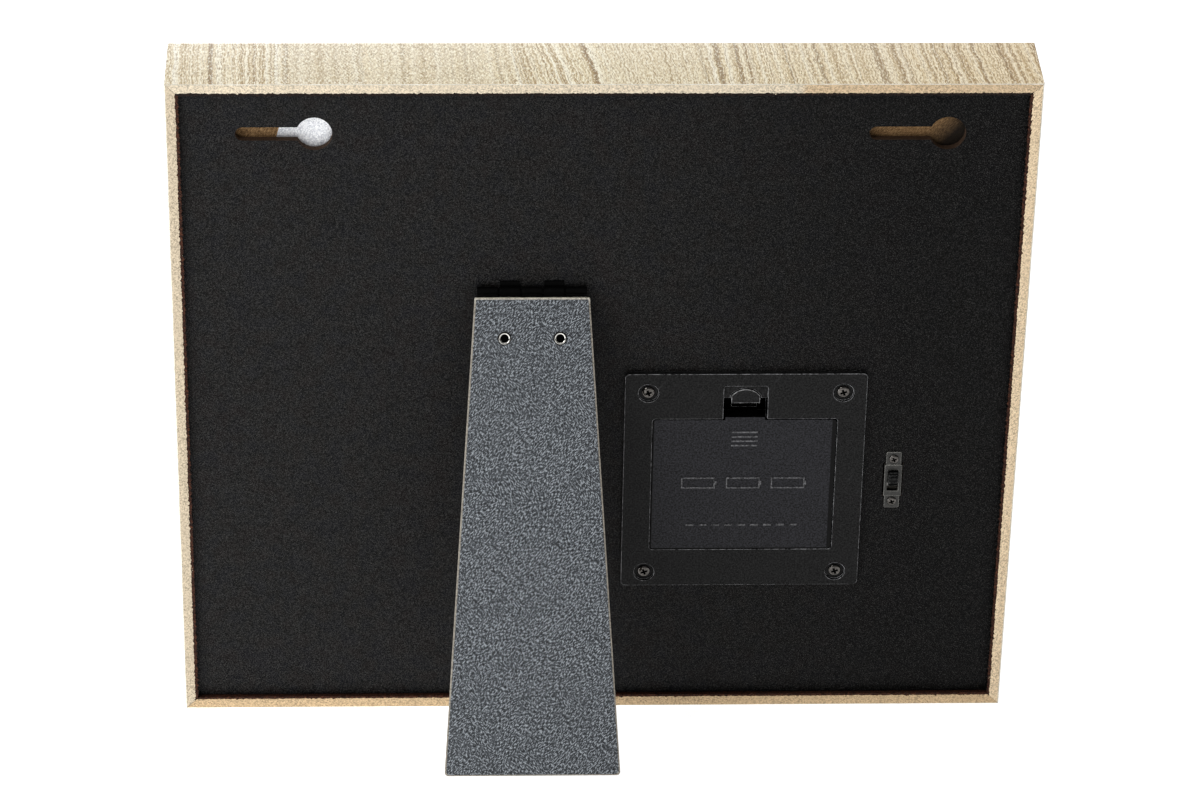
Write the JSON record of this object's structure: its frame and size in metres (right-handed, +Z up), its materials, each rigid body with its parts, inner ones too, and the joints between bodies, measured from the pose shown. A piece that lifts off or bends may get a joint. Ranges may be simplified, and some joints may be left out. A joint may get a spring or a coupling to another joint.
{
  "type": "battery-lit box picture frame",
  "caption": "Wooden box picture frame with light board inside, black back panel with keyholes, battery box, slide switch and a folding easel leg.",
  "frame": {"origin": "middle of the footprint, on the surface the frame stands on with its leg open", "axes": "+Z up, picture faces -Y and leans back, easel leg towards +Y, +X along the frame's width"},
  "size_m": [0.27, 0.0956, 0.2308],
  "materials": {
    "rail_wood": "matte wood-grain wrap on fibreboard",
    "black_board": "black coated hardboard",
    "clear_pane": "clear acrylic",
    "picture": "printed film",
    "diffuser": "opal sheet",
    "brown_board": "plain brown hardboard",
    "white_foam": "foam strip",
    "strip": "flexible circuit",
    "led": "resin-filled package",
    "foil": "crinkled foil tape",
    "leg_board": "cut fibreboard edge",
    "leg_paper": "fine-grained leatherette paper",
    "nickel": "nickel plate",
    "black_steel": "black enamel",
    "plain_steel": "plain",
    "black_plastic": "fine satin moulding",
    "cell_sleeve": "printed sleeve, plain",
    "screw_steel": "zinc plate, dull",
    "dark_steel": "blackened",
    "switch_insulator": "phenolic",
    "knob_plastic": "satin",
    "wire_red": "insulation",
    "wire_black": "insulation",
    "wire_white": "insulation",
    "resistor": "lacquer"
  },
  "bodies": {
    "frame": {"rail_top": "rail_wood", "rail_bottom": "rail_wood", "rail_left": "rail_wood", "rail_right": "rail_wood", "back_panel": "black_board", "front_pane": "clear_pane", "picture_film": "picture", "diffuser_sheet": "diffuser", "light_board": "brown_board", "spacer_top": "white_foam", "spacer_bottom": "white_foam", "spacer_left": "white_foam", "spacer_right": "white_foam", "led_strip_upper": "strip", "led_strip_lower": "strip", "leds_upper": "led", "leds_lower": "led", "foil_patch": "foil", "hinge_fixed_leaf": "black_steel", "hinge_pin": "plain_steel", "panel_rivets": "plain_steel", "battery_case": "black_plastic", "battery_1": "cell_sleeve", "battery_2": "cell_sleeve", "battery_3": "cell_sleeve", "contact_springs": "nickel", "contact_buttons": "nickel", "case_screws": "screw_steel", "switch_bracket": "dark_steel", "switch_base": "switch_insulator", "switch_terminals": "nickel", "switch_screws": "screw_steel", "wire_case_to_switch": "wire_red", "wire_switch_to_strip": "wire_red", "wire_case_to_strip": "wire_black", "wire_links": "wire_white", "series_resistor": "resistor"},
    "leg": {"leg_core": "leg_board", "leg_facing": "leg_paper", "leg_eyelets": "nickel", "hinge_moving_leaf": "black_steel"},
    "cover": {"battery_cover": "black_plastic"},
    "latch": {"battery_latch": "black_plastic"},
    "knob": {"switch_knob": "knob_plastic"}
  },
  "joints": [
    {"name": "leg_hinge", "type": "hinge", "parent": "frame", "child": "leg", "pos_m": [0.0219, 0.02169, 0.15267], "axis": [-1, 0, 0], "range_deg": [0, 24]},
    {"name": "battery_cover_hinge", "type": "hinge", "parent": "frame", "child": "cover", "pos_m": [-0.0468, -0.00449, 0.05958], "axis": [-1, 0, 0], "range_deg": [0, 75]},
    {"name": "battery_latch_press", "type": "slide", "parent": "cover", "child": "latch", "axis": [0, -0.2736, -0.9618], "range_m": [0, 0.0015], "stiffness_N_per_m": 700},
    {"name": "switch_slide", "type": "slide", "parent": "frame", "child": "knob", "axis": [0, -0.2736, -0.9618], "range_m": [0, 0.0025]}
  ]
}
